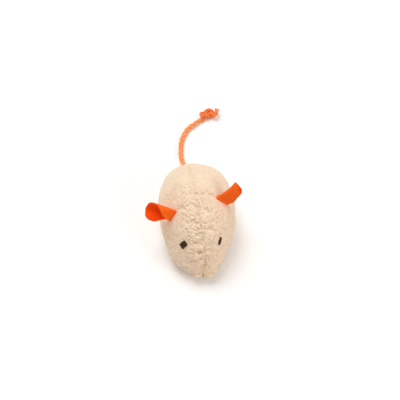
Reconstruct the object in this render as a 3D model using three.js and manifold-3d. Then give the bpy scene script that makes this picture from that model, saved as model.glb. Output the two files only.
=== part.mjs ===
// A catnip mouse: three fleece panels round a fibre filling, folded felt ears, stitched eyes and a cord tail.
// Millimetres. The nose points to -Y, the tail to +Y, +Z is up, and the base rests on z = 0.
import * as THREE from 'three';
import { LoftGeometry } from 'three/addons/geometries/LoftGeometry.js';
import { mergeVertices } from 'three/addons/utils/BufferGeometryUtils.js';
import Module from 'manifold-3d';

const manifold = await Module();
manifold.setup();

// Body: an egg that is widest at its middle and tallest behind it
const BODY_LENGTH = 80;
const BODY_WIDTH = 49.8;
const BODY_HEIGHT = 43.6;
const WIDEST_AT = 1.5;
const TALLEST_AT = 9;
const NOSE_HEIGHT = 6;
const MIDDLE_HEIGHT = 14.6;
const TAIL_HEIGHT = 11;
const BASE_FLAT = 0.5;

// Fullness of the body's outlines behind and before their peaks: 2 and 2 make an ellipse
const PLAN_CURVE = { rear: 3.1, front: 1.62, frontRoot: 1.8 };
const BACK_CURVE = { rear: 2.1, front: 1.84, frontRoot: 1.76 };
const BELLY_CURVE = { rear: 3.2, front: 3.2, frontRoot: 3.2 };

// Where the filling pushes the cloth out most: right cheek, left of the rump and both sides of the nose
// It pushes straight away from an axis along this share of the body's length
const AXIS_SHARE = 0.85;
const BULGES = [
  { out: 2.6, at: [-17, -25, 9], size: 11 },
  { out: 1.1, at: [17, 27, 30], size: 11 },
  { out: 1.6, at: [5.5, -37.6, 5.5], size: 4 },
  { out: 1.2, at: [-4.6, -38.2, 7], size: 3.6 },
];

// Cloth and seams
const GAP = 0.3;
const FABRIC = 1.6;
const ALLOWANCE = 5;
const STITCH_DEPTH = 3;
const THREAD = 0.5;
const BASE_SEAM_HEIGHT = 5;
const SEAM_DIP = 1.8;
const SEAM_DIP_WIDTH = 4.2;
const PANEL_SWELL = 0.6;
const DART_DIP = 0.6;
const DART_DIP_WIDTH = 8;
const CLOSING = { from: 4, to: 27, stitch: 2.3, swing: 0.8 };

// Ears: felt folded double, its root sewn into a dart across the side panel
// Front and back are the felt's widths on both sides of the fold, at these shares of the ear's length
const FELT = 1.2;
const EAR_ROOT = 7.4;
const EAR_TAB = 3.8;
const EAR_RIDGE = 1.2;
const DART_SPACE = 1.2;
const ALONG_EAR = [0, 0.25, 0.5, 0.7, 0.86, 0.95, 1];
const EARS = {
  left: {
    side: 1, y: 0.4, angle: 45.6, length: 13.3, root: 9.2, droop: 0, lean: 14,
    twist: [5, 57], fold: [90, 88], tipRadius: 2.4,
    front: [9.9, 9.4, 8.6, 8.2, 7, 4.2, 0.6], back: [9.9, 9.5, 9.2, 8.8, 7.8, 5.8, 0.8],
  },
  right: {
    side: -1, y: -7, angle: 43.6, length: 18, root: 6.6, droop: 15, lean: 12,
    twist: [25, 62], fold: [90, 95], tipRadius: 7,
    front: [7.9, 7.6, 5.6, 1.4, -0.6, -3, -6.6], back: [7.9, 10.8, 13.4, 13.8, 13, 11, 7.4],
  },
};

// Eyes: pads of satin stitch, one sewn long and narrow, the other nearly square
const EYES = {
  left: { side: 1, y: -25.6, angle: 47.2, long: 5, wide: 2, turned: -4 },
  right: { side: -1, y: -26.2, angle: 45.8, long: 3.5, wide: 4.9, turned: 13 },
};
const EYE_RISE = 0.9;
const EYE_SPREAD = 1.12;

// Tail: a cord from the rear end of the back seam, knotted near its end
const CORD = 3.5;
const TAIL_INSIDE = 11;
const TAIL_PIVOT = 0.8;
const TAIL_LINK = 5.4;
const TAIL_ROUTE = [
  [-2.9, 51.6, 7], [-4.9, 57.3, 3.8], [-5.5, 63, 2.4], [-5.4, 69.5, 2], [-4.4, 77, 2],
  [-2.4, 83, 2], [-0.1, 87.3, 2], [2.5, 90.4, 2], [5.5, 92.8, 2], [8.3, 95, 2],
];
const KNOT_CORD = 2;
const KNOT_GAP = 0.6;
const KNOT_SIZE = 1.48;
const KNOT_AT = [16.4, 100.8, 2.6];
const KNOT_TURN = -80;
const KNOT_OPEN = 0.5;
const KNOT_FLAT = 0.85;
const KNOT_LONG = 1.1;
const KNOT_HUG = 0.9;
const KNOT_LEAD = [[2.5, -4, -0.4], [2.3, -2.8, -0.8]];
const KNOT_LOOSE_END = [[2.2, 2.7, 1.1], [1.7, 3.6, 1.2], [0.4, 4.2, 1.2], [-1.6, 4.6, 1]];

// Filling
const CATNIP = { length: 36, width: 22, height: 17, y: 3, z: 19.5 };
const FILL_SPLIT = 6;
const FILL_BLUNT = 0.02;

const COLOURS = {
  fleece: 0xebd0b1, felt: 0xfb6a22, thread: 0xe3cdb2, cord: 0xf58b48,
  stitch: 0x45270f, fibre: 0xf3efe6, leaf: 0x7d8a4f,
};

// Solids from closed geometry, and back
function solid(geometry) {
  const bare = new THREE.BufferGeometry().copy(geometry);
  bare.deleteAttribute('normal');
  bare.deleteAttribute('uv');
  const merged = mergeVertices(bare, 1e-4);
  const corners = merged.index.array;
  const kept = [];
  for (let i = 0; i < corners.length; i += 3) {
    const [a, b, c] = corners.slice(i, i + 3);
    if (a !== b && b !== c && c !== a) kept.push(a, b, c);
  }
  const mesh = new manifold.Mesh({
    numProp: 3,
    vertProperties: new Float32Array(merged.attributes.position.array),
    triVerts: new Uint32Array(kept),
  });
  mesh.merge();
  return new manifold.Manifold(mesh);
}

function shape(body) {
  const mesh = body.getMesh();
  const geometry = new THREE.BufferGeometry();
  const points = new Float32Array(mesh.numVert * 3);
  for (let i = 0; i < mesh.numVert; i += 1) {
    for (let k = 0; k < 3; k += 1) points[i * 3 + k] = mesh.vertProperties[i * mesh.numProp + k];
  }
  geometry.setAttribute('position', new THREE.BufferAttribute(points, 3));
  geometry.setIndex(new THREE.BufferAttribute(new Uint32Array(mesh.triVerts), 1));
  return geometry;
}

const group = new THREE.Group();
group.name = 'catnip_mouse';

function add(name, body, colour) {
  const geometry = shape(body);
  geometry.computeVertexNormals();
  const piece = new THREE.Mesh(geometry, new THREE.MeshStandardMaterial({ color: colour, roughness: 0.9 }));
  piece.name = name;
  group.add(piece);
}

const vec = (x, y, z) => new THREE.Vector3(x, y, z);
const lerp = THREE.MathUtils.lerp;
const radians = THREE.MathUtils.degToRad;

// A box from one corner to the other
function box(x0, x1, y0, y1, z0, z1) {
  const geometry = new THREE.BoxGeometry(x1 - x0, y1 - y0, z1 - z0);
  geometry.translate((x0 + x1) / 2, (y0 + y1) / 2, (z0 + z1) / 2);
  return solid(geometry);
}

// A capped skin over sections, each turned so that its faces look outwards
function loft(sections) {
  const way = sections.at(-1)[0].clone().sub(sections[0][0]);
  const area = vec(0, 0, 0);
  for (const ring of sections) {
    ring.forEach((p, i) => area.add(p.clone().cross(ring[(i + 1) % ring.length])));
  }
  const turned = area.dot(way) < 0 ? sections.map((ring) => ring.slice().reverse()) : sections;
  return solid(new LoftGeometry(turned, { capStart: true, capEnd: true }));
}

// A tube of round section along a curve
function tube(curve, diameter, step, quarter = 4) {
  const section = new THREE.Shape();
  section.absarc(0, 0, diameter / 2, 0, Math.PI * 2);
  const steps = Math.max(2, Math.round(curve.getLength() / step));
  return solid(new THREE.ExtrudeGeometry(section, { steps, curveSegments: quarter, extrudePath: curve }));
}

function ball(diameter, centre) {
  const geometry = new THREE.SphereGeometry(diameter / 2, 12, 8);
  geometry.translate(centre.x, centre.y, centre.z);
  return solid(geometry);
}

// The egg's size at y as a share of its greatest: 1 at the peak and 0 at both ends
function swell(y, end, peak, curve) {
  if (y >= peak) {
    const t = Math.min(1, (y - peak) / (end - peak));
    return Math.max(0, 1 - t ** curve.rear) ** (1 / curve.rear);
  }
  const t = Math.min(1, (peak - y) / (end + peak));
  return Math.max(0, 1 - t ** curve.front) ** (1 / curve.frontRoot);
}

// Half width, middle height, rise and drop of the section at y, everywhere inset below the outer face
function section(inset, y) {
  const end = BODY_LENGTH / 2 - inset;
  const half = (BODY_WIDTH / 2 - inset) * swell(y, end, WIDEST_AT, PLAN_CURVE);
  const share = (y - TALLEST_AT) / (y > TALLEST_AT ? end - TALLEST_AT : end + TALLEST_AT);
  const middle = lerp(MIDDLE_HEIGHT, y > TALLEST_AT ? TAIL_HEIGHT : NOSE_HEIGHT, Math.abs(share));
  const rise = (BODY_HEIGHT - inset - middle) * swell(y, end, TALLEST_AT, BACK_CURVE);
  const drop = (middle - inset + BASE_FLAT) * swell(y, end, 0, BELLY_CURVE);
  return { half, middle, rise, drop };
}

// A point of the egg's section at angle a from the side, counted towards the back
function sectionPoint(inset, y, a) {
  const s = section(inset, y);
  const [c, n] = [Math.cos(a), Math.sin(a)];
  if (n >= 0) return vec(s.half * c, y, s.middle + s.rise * n);
  return vec(s.half * Math.sign(c) * Math.abs(c) ** (2 / 3), y, s.middle - s.drop * Math.abs(n) ** (2 / 3));
}

// How far down the section at y the base seam lies: 0 at its middle and 1 at its lowest point
function seamShare(y) {
  const s = section(0, y);
  return s.drop > 0 ? (s.middle - BASE_SEAM_HEIGHT) / s.drop : 1;
}

// How much the seams hold the cloth in at a point of the section, from 0 to 1
function seamPull(plain, a) {
  const s = section(0, plain.y);
  const turn = Math.atan2(Math.sin(a), Math.abs(Math.cos(a)));
  const baseSeam = -Math.asin(Math.min(1, seamShare(plain.y)) ** 1.5);
  const atBack = Math.exp(-((plain.x / SEAM_DIP_WIDTH) ** 2)) * Math.max(0, Math.sin(a));
  const atBase = Math.exp(-((((turn - baseSeam) * s.half) / SEAM_DIP_WIDTH) ** 2));
  return Math.max(atBack, atBase);
}

// The same point on the stuffed body: drawn in along the seams, full between them, with the filling's bulges
function bodyPoint(inset, along, a) {
  const lie = (i) => -Math.cos(Math.PI * along) * (BODY_LENGTH / 2 - i);
  const plain = sectionPoint(inset, lie(inset), a);
  const pull = seamPull(plain, a);
  const fromEars = Object.values(EARS).map((ear) => plain.distanceTo(earPlace(ear)));
  const atEar = Math.exp(-((Math.min(...fromEars) / DART_DIP_WIDTH) ** 2));
  const above = THREE.MathUtils.smoothstep(plain.z, BASE_SEAM_HEIGHT, MIDDLE_HEIGHT);
  const full = (1 - pull) * (1 - atEar) * above;
  const drawn = SEAM_DIP * pull + DART_DIP * atEar * (1 - pull) - PANEL_SWELL * full;
  const deeper = inset + drawn * Math.sin(Math.PI * along);
  const point = sectionPoint(deeper, lie(deeper), a);
  const axis = vec(0, point.y * AXIS_SHARE, section(0, lie(0)).middle);
  const away = point.clone().sub(axis).normalize();
  for (const bulge of BULGES) {
    const near = plain.distanceTo(vec(...bulge.at)) / bulge.size;
    point.addScaledVector(away, bulge.out * Math.exp(-(near ** 2)));
  }
  return point;
}

// The middle of an ear's root on the cloth
function earPlace(ear) {
  const centre = sectionPoint(0, ear.y, radians(ear.angle));
  return centre.setX(centre.x * ear.side);
}

function egg(inset) {
  const [rings, corners] = [22, 32];
  const sections = [];
  for (let i = 0; i <= rings; i += 1) {
    const along = lerp(0.004, 0.996, i / rings);
    const points = [];
    for (let j = 0; j < corners; j += 1) {
      const turn = -(j / corners) * Math.PI * 2;
      points.push(bodyPoint(inset, along, turn + 0.6 * Math.cos(turn)));
    }
    sections.push(points);
  }
  return loft(sections);
}

// Points of the base seam's plan from nose to tail along the left side, drawn in by depth
function seamPlan(depth) {
  const [wide, long] = [1 - (2 * (depth + SEAM_DIP)) / BODY_WIDTH, 1 - (2 * depth) / BODY_LENGTH];
  const points = [];
  for (let i = 0; i <= 48; i += 1) {
    const y = (-Math.cos((Math.PI * i) / 48) * BODY_LENGTH) / 2;
    const low = seamShare(y);
    const x = section(0, y).half * Math.max(0, 1 - low ** 3) ** (1 / 3);
    if (low < 0.995) points.push(new THREE.Vector2(x * wide, y * long));
  }
  return points;
}

// An upright prism on that plan
function seamPrism(depth, z0, z1) {
  const left = seamPlan(depth);
  const right = left.map((p) => new THREE.Vector2(-p.x, p.y)).reverse();
  const plan = new THREE.Shape([...left, ...right]);
  const geometry = new THREE.ExtrudeGeometry(plan, { depth: z1 - z0, bevelEnabled: false });
  geometry.translate(0, 0, z0);
  return solid(geometry);
}

const outer = egg(0);
const inner = egg(FABRIC);
const core = egg(FABRIC + ALLOWANCE);
const room = egg(FABRIC + GAP);
const roomCore = egg(FABRIC + ALLOWANCE + GAP);
const cloth = egg(FABRIC / 2);
const edge = cloth.subtract(core);
const far = BODY_LENGTH;

// Frame of an ear's root on the body: down along the dart, back along the body, out from the cloth
function earFrame(ear) {
  const a = radians(ear.angle);
  const s = section(0, ear.y);
  const centre = earPlace(ear);
  const down = vec(ear.side * s.half * Math.sin(a), 0, -s.rise * Math.cos(a)).normalize();
  const out = vec(ear.side * s.rise * Math.cos(a), 0, s.half * Math.sin(a)).normalize();
  return { centre, down, back: vec(0, 1, 0), out };
}

function place(frame, d, b, o) {
  const point = frame.centre.clone().addScaledVector(frame.down, d);
  return point.addScaledVector(frame.back, b).addScaledVector(frame.out, o);
}

const ROOT_THICK = FELT * 2 + GAP;

// The ear's root in the dart: a doubled strip with a ridge on top, about which the flap folds
function earTab(frame, grow) {
  const [half, deep, wide] = [ROOT_THICK / 2 + grow, FABRIC + EAR_TAB + grow, EAR_ROOT / 2 + grow];
  const profile = [[-half, -deep], [half, -deep], [half, 0], [0, EAR_RIDGE], [-half, 0]];
  const ends = [-wide, wide].map((d) => profile.map(([b, o]) => place(frame, d, b, o)));
  return loft(ends);
}

// A width of the felt at a share t of the ear's length
function readAlong(widths, t) {
  const k = Math.max(1, ALONG_EAR.findIndex((share) => share >= t));
  return THREE.MathUtils.mapLinear(t, ALONG_EAR[k - 1], ALONG_EAR[k], widths[k - 1], widths[k]);
}

// Places across the felt: even steps from the front edge to the fold, and from the fold to the back edge
function acrossFelt(front, back) {
  const half = 5;
  const fold = Math.max(0, lerp(-front, back, 0.25));
  const places = [];
  for (let j = 0; j < half; j += 1) places.push(lerp(-front, fold, j / half));
  for (let j = 0; j <= half; j += 1) places.push(lerp(fold, back, j / half));
  return places;
}

// The ear's flap: a sheet folded about its upper edge, shut at the root and opening towards the tip
function earFlap(ear, frame) {
  const [droop, lean] = [Math.tan(radians(ear.droop)), Math.tan(radians(ear.lean))];
  const reach = ear.length / Math.hypot(1, droop, lean);
  const [firstTwist, lastTwist] = ear.twist.map(radians);
  const [rows, tip] = [14, 0.985];
  const sections = [];
  for (let i = 0; i <= rows; i += 1) {
    const t = (i / rows) * tip;
    const spine = place(
      frame, reach * droop * t * t - (ear.root / 2) * Math.cos(firstTwist),
      reach * lean * t * t + (ear.root / 2) * Math.sin(firstTwist), EAR_RIDGE + GAP + reach * t,
    );
    const along = frame.out.clone().addScaledVector(frame.down, 2 * droop * t);
    along.addScaledVector(frame.back, 2 * lean * t).normalize();
    const twist = lerp(firstTwist, lastTwist, t);
    const open = frame.down.clone().multiplyScalar(Math.cos(twist));
    open.addScaledVector(frame.back, -Math.sin(twist));
    open.addScaledVector(along, -open.dot(along)).normalize();
    const across = along.clone().cross(open).multiplyScalar(ear.side);
    const bend = radians(lerp(...ear.fold, t));
    const radius = lerp((FELT + GAP) / 2, ear.tipRadius, t);
    const faces = [[], []];
    for (const w of acrossFelt(readAlong(ear.front, t), readAlong(ear.back, t))) {
      const turn = Math.sign(w) * Math.min(Math.abs(w) / radius, bend);
      const leg = Math.max(0, Math.abs(w) - radius * bend);
      const p = radius * (1 - Math.cos(turn)) + leg * Math.abs(Math.sin(turn));
      const q = radius * Math.sin(turn) + Math.sign(w) * leg * Math.cos(turn);
      for (const [k, lift] of [[0, FELT / 2], [1, -FELT / 2]]) {
        const point = spine.clone();
        point.addScaledVector(open, p + lift * Math.cos(turn));
        point.addScaledVector(across, q - lift * Math.sin(turn));
        faces[k].push(point);
      }
    }
    sections.push([...faces[0].reverse(), ...faces[1]]);
  }
  return loft(sections);
}

const frames = { left: earFrame(EARS.left), right: earFrame(EARS.right) };

// The dart's extent across the side panel, widened by grow
function dart(ear, frame, from, halfThick, grow) {
  const low = place(frame, EAR_ROOT / 2 + GAP + grow, 0, 0);
  const x = [from * ear.side, (Math.abs(low.x) + 1) * ear.side].sort((p, q) => p - q);
  return box(x[0], x[1], ear.y - halfThick, ear.y + halfThick, low.z, far);
}

// A level layer of the body's inside, open in the middle
function rim(body, depth, z0, z1) {
  return body.intersect(box(-far, far, -far, far, z0, z1)).subtract(seamPrism(depth, z0 - 1, z1 + 1));
}

const DART_EDGE = ROOT_THICK / 2 + GAP + FABRIC;
const THREAD_ROOM = THREAD + GAP * 2;
const SEAM_EDGE = GAP / 2 + FABRIC;
const DART_START = SEAM_EDGE + THREAD_ROOM + DART_SPACE;

// Where the tail leaves the body
const exit = vec(0, BODY_LENGTH / 2 + TAIL_PIVOT, TAIL_HEIGHT);
const innerEnd = vec(0, exit.y - CORD / 2 - GAP, TAIL_HEIGHT);
const inside = new THREE.LineCurve3(innerEnd.clone().setY(innerEnd.y - TAIL_INSIDE), innerEnd);
const bore = new THREE.LineCurve3(vec(0, inside.v1.y - GAP, TAIL_HEIGHT), vec(0, far, TAIL_HEIGHT));
const tailHole = tube(bore, CORD + GAP * 2, far);

// Side panels: the shell above the base seam, in halves, with their edges turned in
for (const [name, ear] of Object.entries(EARS)) {
  const frame = frames[name];
  const x = ear.side > 0 ? [GAP / 2, far] : [-far, -GAP / 2];
  const strip = ear.side > 0 ? [GAP / 2, SEAM_EDGE] : [-SEAM_EDGE, -GAP / 2];
  const low = BASE_SEAM_HEIGHT + GAP / 2;
  const half = box(...x, -far, far, low, far);
  const turned = edge.intersect(box(...strip, -far, far, low + FABRIC + THREAD_ROOM, far))
    .add(rim(cloth, FABRIC + ALLOWANCE, low, low + FABRIC))
    .add(edge.intersect(dart(ear, frame, DART_START, DART_EDGE, FABRIC)));
  const panel = outer.subtract(inner).add(turned.intersect(half)).intersect(half)
    .subtract(dart(ear, frame, 0, GAP / 2, 0))
    .subtract(earTab(frame, GAP))
    .subtract(tailHole);
  add(`side_panel_${name}`, panel, COLOURS.fleece);
}

// Base panel: the shell under the seam, flat where it stands
const under = box(-far, far, -far, far, 0, BASE_SEAM_HEIGHT - GAP / 2);
const baseEdge = rim(cloth, FABRIC + ALLOWANCE, BASE_SEAM_HEIGHT - SEAM_EDGE, BASE_SEAM_HEIGHT - GAP / 2);
add('base_panel', outer.subtract(inner).add(baseEdge).intersect(under), COLOURS.fleece);

// Seam channels in the filling
const channel = outer.subtract(roomCore);
const beside = SEAM_EDGE + THREAD_ROOM;
const backRoom = channel.intersect(box(-beside, beside, -far, far, BASE_SEAM_HEIGHT, far));
const baseRoom = rim(
  outer, FABRIC + ALLOWANCE + GAP, BASE_SEAM_HEIGHT - SEAM_EDGE - GAP, BASE_SEAM_HEIGHT + beside,
);
let filling = room.subtract(backRoom).subtract(baseRoom).subtract(tailHole);
for (const [name, ear] of Object.entries(EARS)) {
  const dartRoom = channel.intersect(dart(ear, frames[name], 0, DART_EDGE + THREAD_ROOM, FABRIC + GAP));
  filling = filling.subtract(dartRoom).subtract(earTab(frames[name], GAP));
}

// Catnip in the middle, with fibre before and behind it
function leafy(grow) {
  const geometry = new THREE.SphereGeometry(0.5, 16, 12);
  geometry.scale(CATNIP.width + grow, CATNIP.length + grow, CATNIP.height + grow);
  geometry.translate(0, CATNIP.y, CATNIP.z);
  return solid(geometry);
}
filling = filling.subtract(leafy(GAP * 2)).subtract(box(-far, far, -far, far, -far, FABRIC + GAP));
add('catnip_fill', leafy(0), COLOURS.leaf);

// The part of the filling from y0 to y1, without the slivers that the channels cut off, its finest edges blunted
function fibre(y0, y1) {
  const bits = filling.intersect(box(-far, far, y0, y1, 0, far)).decompose();
  return bits.reduce((most, bit) => (bit.volume() > most.volume() ? bit : most)).simplify(FILL_BLUNT);
}
add('stuffing_front', fibre(-far, FILL_SPLIT - GAP / 2), COLOURS.fibre);
add('stuffing_rear', fibre(FILL_SPLIT + GAP / 2, far), COLOURS.fibre);

// Ears and their roots
for (const [name, ear] of Object.entries(EARS)) {
  add(`ear_${name}`, earFlap(ear, frames[name]), COLOURS.felt);
  add(`ear_tab_${name}`, earTab(frames[name], 0), COLOURS.felt);
}

// Eyes: pads laid on the cloth
for (const [name, eye] of Object.entries(EYES)) {
  const along = (y) => Math.acos((-2 * y) / BODY_LENGTH) / Math.PI;
  const spot = (y, a) => bodyPoint(0, along(y), eye.side > 0 ? a : Math.PI - a);
  const a = radians(eye.angle);
  const at = spot(eye.y, a);
  const ahead = spot(eye.y - 1, a).sub(at).normalize();
  const up = spot(eye.y, a + 0.05).sub(at);
  const out = up.cross(ahead).multiplyScalar(eye.side).normalize();
  const pad = new THREE.SphereGeometry(0.5, 16, 10);
  pad.scale(eye.long * EYE_SPREAD, eye.wide * EYE_SPREAD, (EYE_RISE + GAP) * 2);
  pad.rotateZ(radians(eye.turned));
  pad.applyMatrix4(new THREE.Matrix4().makeBasis(ahead, out.clone().cross(ahead), out).setPosition(at));
  add(`eye_${name}`, solid(pad).subtract(egg(-GAP)), COLOURS.stitch);
}

// Seam threads, laid along the turned edges
const stitchLine = FABRIC + STITCH_DEPTH;
const besideSeam = SEAM_EDGE + GAP + THREAD / 2;
const clear = BASE_SEAM_HEIGHT + SEAM_EDGE + THREAD_ROOM + GAP;
const backPoints = [];
for (let i = 0; i <= 40; i += 1) {
  const p = bodyPoint(stitchLine, i / 40, Math.PI / 2);
  if (p.z > clear) backPoints.push(vec(besideSeam, p.y, p.z));
}
add('back_seam_thread', tube(new THREE.CatmullRomCurve3(backPoints), THREAD, 4, 3), COLOURS.thread);

const seamLevel = BASE_SEAM_HEIGHT + besideSeam;
const seamLeft = seamPlan(stitchLine).map((p) => vec(p.x, p.y, seamLevel));
const seamRight = seamLeft.map((p) => vec(-p.x, p.y, p.z));
const loop = [
  ...seamLeft.filter((p) => p.y < CLOSING.from - THREAD * 2).reverse(),
  ...seamRight,
  ...seamLeft.filter((p) => p.y > CLOSING.to + THREAD * 2).reverse(),
];
const baseSeam = new THREE.CatmullRomCurve3(loop, false, 'centripetal');
add('base_seam_thread', tube(baseSeam, THREAD, 4, 3), COLOURS.thread);

// The stretch sewn by hand after filling, in wider stitches
const gapCurve = new THREE.CatmullRomCurve3(seamLeft.filter((p) => p.y > CLOSING.from && p.y < CLOSING.to));
const stitches = Math.round(gapCurve.getLength() / CLOSING.stitch);
const closing = gapCurve.getSpacedPoints(stitches);
closing.forEach((p, i) => p.setX(p.x + (i % 2 ? CLOSING.swing : -CLOSING.swing)));
add('closing_thread', tube(new THREE.CatmullRomCurve3(closing), THREAD, 1.15, 3), COLOURS.thread);

for (const [name, ear] of Object.entries(EARS)) {
  const level = ear.y - DART_EDGE - GAP - THREAD / 2;
  const low = place(frames[name], EAR_ROOT / 2 + FABRIC, 0, 0);
  const points = [];
  for (let i = 0; i <= 30; i += 1) {
    const p = sectionPoint(stitchLine, level, lerp(0, Math.PI / 2, i / 30));
    if (p.z > low.z && p.x > DART_START) points.push(vec(p.x * ear.side, level, p.z));
  }
  add(`ear_seam_thread_${name}`, tube(new THREE.CatmullRomCurve3(points), THREAD, 3, 3), COLOURS.thread);
}

// Tail: its end inside, the link that swings at the body, and the cord that lifts from the link
add('tail_inner_end', tube(inside, CORD, TAIL_INSIDE), COLOURS.cord);
const linkEnd = vec(0, exit.y + TAIL_LINK - CORD / 2 - GAP, TAIL_HEIGHT);
const lift = vec(0, exit.y + TAIL_LINK, TAIL_HEIGHT);
const link = new THREE.LineCurve3(exit, linkEnd);
add('tail_root', tube(link, CORD, TAIL_LINK).add(ball(CORD, exit)), COLOURS.cord);

// The overhand knot: a trefoil with one lobe opened, whose ends run along the cord's way
const knotTurn = radians(KNOT_TURN);
function knotPlace(x, y, z) {
  const [c, s] = [Math.cos(knotTurn), Math.sin(knotTurn)];
  const [u, v] = [x * KNOT_SIZE * KNOT_FLAT, y * KNOT_SIZE * KNOT_LONG];
  return vec(KNOT_AT[0] + u * c - v * s, KNOT_AT[1] + u * s + v * c, KNOT_AT[2] + z * KNOT_SIZE);
}
const knotPoints = KNOT_LEAD.map((p) => knotPlace(...p));
for (let i = 0; i <= 36; i += 1) {
  const t = lerp(-KNOT_OPEN, KNOT_OPEN - Math.PI * 2, i / 36);
  const r = 2 + KNOT_HUG * Math.cos(3 * t);
  knotPoints.push(knotPlace(r * Math.cos(2 * t), r * Math.sin(2 * t), Math.sin(3 * t)));
}
knotPoints.push(...KNOT_LOOSE_END.map((p) => knotPlace(...p)));
const knot = new THREE.CatmullRomCurve3(knotPoints, false, 'centripetal');
add('tail_knot', tube(knot, KNOT_CORD, 1.3), COLOURS.cord);

const cordEnd = knotPlace(...KNOT_LEAD[0]).addScaledVector(knot.getTangent(0), -KNOT_GAP);
const route = [lift, ...TAIL_ROUTE.map((p) => vec(...p)), cordEnd];
const cord = new THREE.CatmullRomCurve3(route, false, 'centripetal');
add('tail_cord', tube(cord, CORD, 3).add(ball(CORD, lift)), COLOURS.cord);

// How near the knot's strand comes to itself, and the lengths the record states
const spots = knot.getSpacedPoints(240);
let near = Infinity;
for (let i = 0; i < spots.length; i += 1) {
  for (let j = i + 1; j < spots.length; j += 1) {
    const run = ((j - i) * knot.getLength()) / 240;
    if (run > KNOT_CORD * 2.2) near = Math.min(near, spots[i].distanceTo(spots[j]) - KNOT_CORD);
  }
}
console.log('knot gap', near.toFixed(2), 'knot length', knot.getLength().toFixed(1));
console.log('cord length', cord.getLength().toFixed(1));
console.log('lift', lift.toArray(), 'exit', exit.toArray());
for (const [name, frame] of Object.entries(frames)) {
  const root = place(frame, 0, 0, EAR_RIDGE + GAP / 2);
  console.log(name, root.toArray().map((v) => v.toFixed(2)), frame.down.toArray().map((v) => v.toFixed(4)));
}

export default group;
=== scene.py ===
# %% [markdown]
# A catnip mouse, dressed for its picture.
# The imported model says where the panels, ears, eyes and tail are, and how they move.
# This file lays the soft surfaces over it: looped fleece, folded felt, satin stitch and twisted cord.

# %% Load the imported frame
import math

import bmesh
import bpy
import numpy as np
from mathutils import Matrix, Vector, kdtree, noise


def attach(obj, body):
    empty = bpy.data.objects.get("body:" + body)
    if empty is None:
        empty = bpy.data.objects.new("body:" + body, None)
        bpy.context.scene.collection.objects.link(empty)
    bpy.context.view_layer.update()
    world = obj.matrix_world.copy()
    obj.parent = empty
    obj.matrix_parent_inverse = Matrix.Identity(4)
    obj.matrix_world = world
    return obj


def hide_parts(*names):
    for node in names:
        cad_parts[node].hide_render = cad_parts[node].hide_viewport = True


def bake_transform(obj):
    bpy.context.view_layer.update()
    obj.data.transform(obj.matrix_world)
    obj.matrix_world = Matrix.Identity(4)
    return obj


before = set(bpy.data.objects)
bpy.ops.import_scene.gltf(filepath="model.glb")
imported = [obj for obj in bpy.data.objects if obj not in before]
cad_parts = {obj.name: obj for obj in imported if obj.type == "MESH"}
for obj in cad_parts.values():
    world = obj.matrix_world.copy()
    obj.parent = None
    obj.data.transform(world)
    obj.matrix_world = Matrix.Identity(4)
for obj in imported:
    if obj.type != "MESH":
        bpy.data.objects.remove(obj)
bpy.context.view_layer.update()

MM = 0.001
scene = bpy.context.scene

# %% [markdown]
# The camera comes first, because every shape and colour after it is judged through it.
# It is a long lens, almost a metre away, looking down at a little over fifty degrees.

# %% Camera
CAMERA_AT = Vector((-47.0, -520.7, 737.9)) * MM
CAMERA_LOOKS_AT = Vector((4.18, 27.21, 0.0)) * MM
SENSOR_WIDTH, FOCAL_LENGTH = 36.0, 120.7
NEAREST, FARTHEST = 0.01, 20.0

lens = bpy.data.cameras.new("camera")
lens.sensor_width = SENSOR_WIDTH
lens.lens = FOCAL_LENGTH
lens.clip_start, lens.clip_end = NEAREST, FARTHEST
camera = bpy.data.objects.new("camera", lens)
camera.location = CAMERA_AT
camera.rotation_euler = (CAMERA_LOOKS_AT - CAMERA_AT).to_track_quat("-Z", "Y").to_euler()
scene.collection.objects.link(camera)
scene.camera = camera
print("camera distance:", round((CAMERA_LOOKS_AT - CAMERA_AT).length, 3), "m")

# %% [markdown]
# Shader nodes can be wired one by one, but a formula is easier to read.
# A wire stands for one node output: sums and products of wires add Math nodes by themselves.
# A board is the node tree of a material or of the world. Its node method makes any other node.

# %% Wires and boards


class Wire:
    """One output of a shader node, usable in sums and products."""

    def __init__(self, board, socket):
        self.board, self.socket = board, socket

    def math(self, operation, first, second):
        return self.board.node("ShaderNodeMath", {"operation": operation}, {0: first, 1: second})

    def __add__(self, other):
        return self.math("ADD", self, other)

    def __radd__(self, other):
        return self.math("ADD", other, self)

    def __sub__(self, other):
        return self.math("SUBTRACT", self, other)

    def __rsub__(self, other):
        return self.math("SUBTRACT", other, self)

    def __mul__(self, other):
        return self.math("MULTIPLY", self, other)

    def __rmul__(self, other):
        return self.math("MULTIPLY", other, self)


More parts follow.
